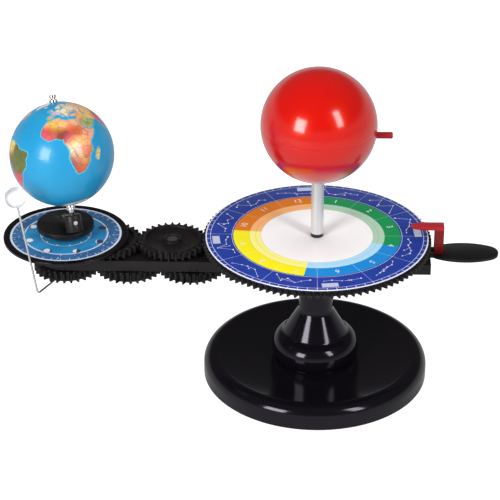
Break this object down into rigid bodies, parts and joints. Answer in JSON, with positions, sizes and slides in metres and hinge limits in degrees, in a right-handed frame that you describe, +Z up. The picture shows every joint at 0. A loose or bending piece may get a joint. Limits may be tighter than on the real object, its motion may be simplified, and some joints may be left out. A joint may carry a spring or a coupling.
{
  "type": "tellurion",
  "caption": "Geared tellurion: an arm carries a tilted Earth globe and a Moon on a wire round a red Sun over a seasons dial, on a weighted round base with a bell-shaped column.",
  "frame": {"origin": "centre of the round base's underside, on the table", "axes": "+Z up along the column, the Earth on -X and the arm's handle on +X"},
  "size_m": [0.4336, 0.2, 0.295],
  "materials": {
    "black_gloss": "glossy moulded",
    "black_satin": "satin moulded",
    "felt": "felt",
    "cast_ballast": "as cast",
    "steel": "zinc plated",
    "chrome": "polished",
    "brass": "turned",
    "dial_print": "printed, glossy",
    "phase_print": "printed, glossy",
    "sun_red": "glossy",
    "pointer_red": "glossy",
    "globe_print": "printed, glossy",
    "moon_white": "translucent white"
  },
  "bodies": {
    "base": {"felt_disc": "felt", "base_cover": "black_satin", "base_screws": "steel", "base_shell": "black_gloss", "ballast_disc": "cast_ballast", "pedestal_bell": "black_gloss", "spindle": "steel", "spindle_foot_nut": "steel", "spindle_washer": "steel", "spindle_top_nut": "steel", "fixed_lower_gear": "black_satin", "bearing_sleeve": "brass", "thrust_washers": "brass", "season_gear": "black_satin", "season_dial": "dial_print", "sun_post": "chrome", "sun_lower_shell": "sun_red", "sun_upper_shell": "sun_red", "sun_peg": "pointer_red"},
    "arm": {"arm": "black_satin", "date_pointer": "pointer_red", "pointer_screw": "steel", "lower_pin_1": "steel", "lower_pin_2": "steel", "lower_pin_3": "steel", "upper_pin_1": "steel", "upper_pin_2": "steel"},
    "lower_idler_1": {"lower_idler_1": "black_satin"},
    "lower_idler_2": {"lower_idler_2": "black_satin"},
    "lower_idler_3": {"lower_idler_3": "black_satin"},
    "upper_idler_1": {"upper_idler_1": "black_satin"},
    "upper_idler_2": {"upper_idler_2": "black_satin"},
    "phase": {"phase_pinion": "black_satin", "phase_disc": "black_satin", "phase_card": "phase_print"},
    "earth": {"earth_gear": "black_satin", "earth_axle": "chrome", "axle_nut": "steel", "earth_hub": "black_satin", "globe_rod": "chrome", "clamp_screw": "steel", "rod_cap": "chrome"},
    "globe": {"globe_north": "globe_print", "globe_south": "globe_print", "globe_north_bush": "chrome", "globe_south_bush": "chrome"},
    "moon": {"moon_hub": "steel", "moon_wire": "chrome", "moon_ball": "moon_white"}
  },
  "joints": [
    {"name": "arm_swing", "type": "hinge", "parent": "base", "child": "arm", "pos_m": [0, 0, 0.1195], "axis": [0, 0, 1], "continuous": true},
    {"name": "lower_idler_1_spin", "type": "hinge", "parent": "arm", "child": "lower_idler_1", "pos_m": [-0.055, 0, 0.11], "axis": [0, 0, 1], "continuous": true},
    {"name": "lower_idler_2_spin", "type": "hinge", "parent": "arm", "child": "lower_idler_2", "pos_m": [-0.11, 0, 0.11], "axis": [0, 0, 1], "continuous": true},
    {"name": "lower_idler_3_spin", "type": "hinge", "parent": "arm", "child": "lower_idler_3", "pos_m": [-0.165, 0, 0.11], "axis": [0, 0, 1], "continuous": true},
    {"name": "upper_idler_1_spin", "type": "hinge", "parent": "arm", "child": "upper_idler_1", "pos_m": [-0.1267, 0, 0.11], "axis": [0, 0, 1], "continuous": true},
    {"name": "upper_idler_2_spin", "type": "hinge", "parent": "arm", "child": "upper_idler_2", "pos_m": [-0.18366, 0, 0.11], "axis": [0, 0, 1], "continuous": true},
    {"name": "phase_spin", "type": "hinge", "parent": "arm", "child": "phase", "pos_m": [-0.22, 0, 0.11], "axis": [0, 0, 1], "continuous": true},
    {"name": "earth_turn", "type": "hinge", "parent": "arm", "child": "earth", "pos_m": [-0.22, 0, 0.11], "axis": [0, 0, 1], "continuous": true},
    {"name": "globe_spin", "type": "hinge", "parent": "earth", "child": "globe", "pos_m": [-0.22, 0, 0.2152], "axis": [-0.1603, 0.3651, 0.9171], "continuous": true},
    {"name": "moon_swing", "type": "hinge", "parent": "arm", "child": "moon", "pos_m": [-0.22, 0, 0.1012], "axis": [0, 0, 1], "range_deg": [-205, 78]}
  ],
  "couplings": [
    {"joint": "lower_idler_1_spin", "follows": "arm_swing", "ratio": 1},
    {"joint": "lower_idler_2_spin", "follows": "arm_swing", "ratio": -1},
    {"joint": "lower_idler_3_spin", "follows": "arm_swing", "ratio": 1},
    {"joint": "earth_turn", "follows": "arm_swing", "ratio": -1},
    {"joint": "upper_idler_1_spin", "follows": "arm_swing", "ratio": 3.4483},
    {"joint": "upper_idler_2_spin", "follows": "arm_swing", "ratio": -3.4483},
    {"joint": "phase_spin", "follows": "arm_swing", "ratio": 12.5}
  ]
}
